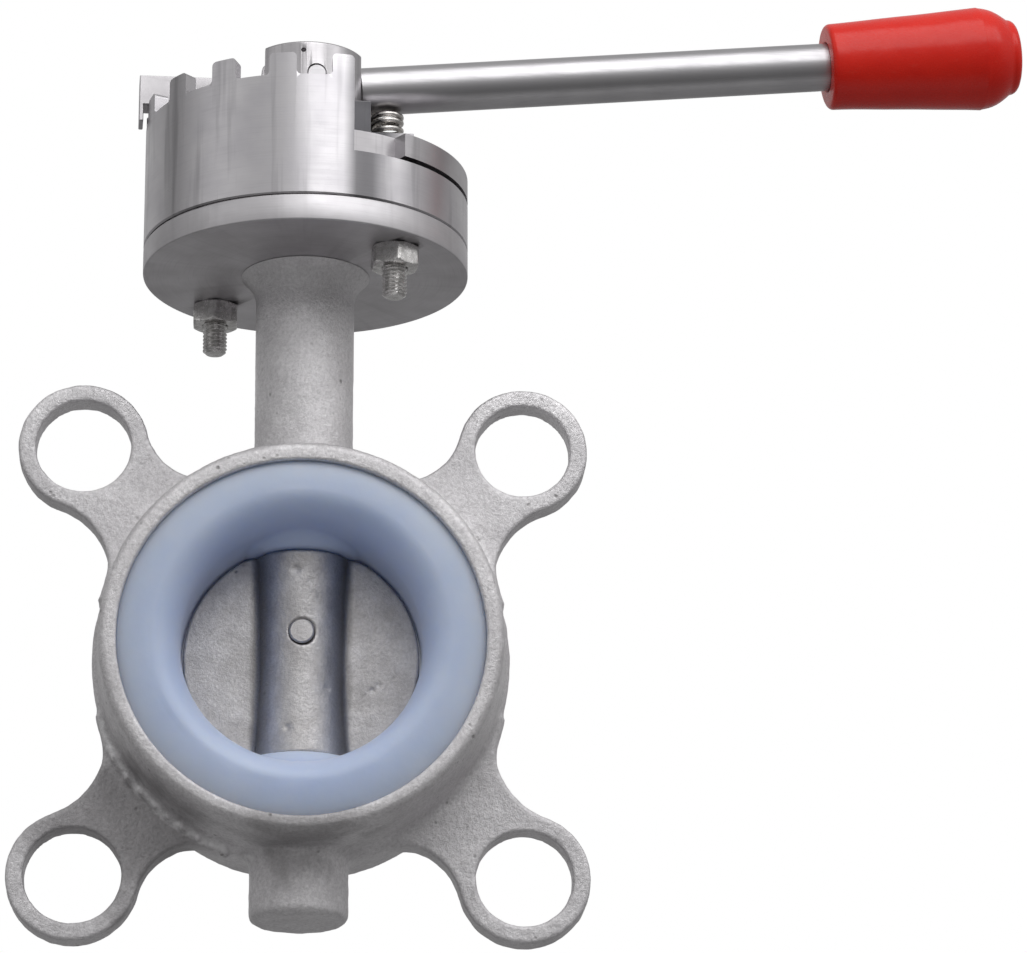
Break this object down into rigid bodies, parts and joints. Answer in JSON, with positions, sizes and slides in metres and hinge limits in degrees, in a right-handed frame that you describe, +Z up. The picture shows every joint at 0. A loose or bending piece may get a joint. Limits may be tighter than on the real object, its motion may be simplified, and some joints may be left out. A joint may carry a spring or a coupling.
{
  "type": "butterfly valve",
  "caption": "Wafer butterfly valve with drilled lugs, soft seat, stainless disc on a vertical stem and a spring-latched hand lever over a notched cap.",
  "frame": {"origin": "centre of the bore, midway between the two faces, on the circle of the flange bolts", "axes": "+Z up along the stem towards the lever, +Y along the pipe, +X towards the grip while the valve is closed"},
  "size_m": [0.2077, 0.0664, 0.2049],
  "materials": {
    "cast_stainless": "blasted casting, fine pits",
    "disc_stainless": "blasted casting",
    "machined_stainless": "turned and polished",
    "hub_stainless": "machined, satin",
    "polished_stainless": "bright polished",
    "bolt_steel": "plain stainless fastener",
    "spring_steel": "drawn wire",
    "seat_rubber": "translucent pale blue-grey elastomer, satin",
    "seal_rubber": "black rubber",
    "bush_ptfe": "white plastic bearing",
    "red_plastic": "glossy moulded red plastic"
  },
  "bodies": {
    "root": {"valve_body": "cast_stainless", "seat_liner": "seat_rubber", "lower_bushing": "bush_ptfe", "neck_bushing": "bush_ptfe", "upper_bushing": "bush_ptfe", "stem_o_rings": "seal_rubber", "thrust_washer": "bush_ptfe", "notch_cap": "machined_stainless", "cap_bolts": "bolt_steel", "cap_nuts": "bolt_steel"},
    "stem_assembly": {"stem": "polished_stainless", "disc": "disc_stainless", "disc_pin": "polished_stainless", "hub": "hub_stainless", "hub_screw": "bolt_steel", "pivot_pin": "polished_stainless", "lever_spring": "spring_steel"},
    "lever": {"latch_bar": "hub_stainless", "lever_rod": "polished_stainless", "grip": "red_plastic"}
  },
  "joints": [
    {"name": "stem_turn", "type": "hinge", "parent": "root", "child": "stem_assembly", "pos_m": [0, 0, 0], "axis": [0, 0, 1], "range_deg": [0, 90]},
    {"name": "lever_tilt", "type": "hinge", "parent": "stem_assembly", "child": "lever", "pos_m": [0.0012, 0.00007, 0.1227], "axis": [0.0558, -0.9984, 0], "range_deg": [0, 3], "stiffness_Nm_per_rad": 6, "springref_deg": 6.88, "deforming": ["lever_spring"]}
  ]
}
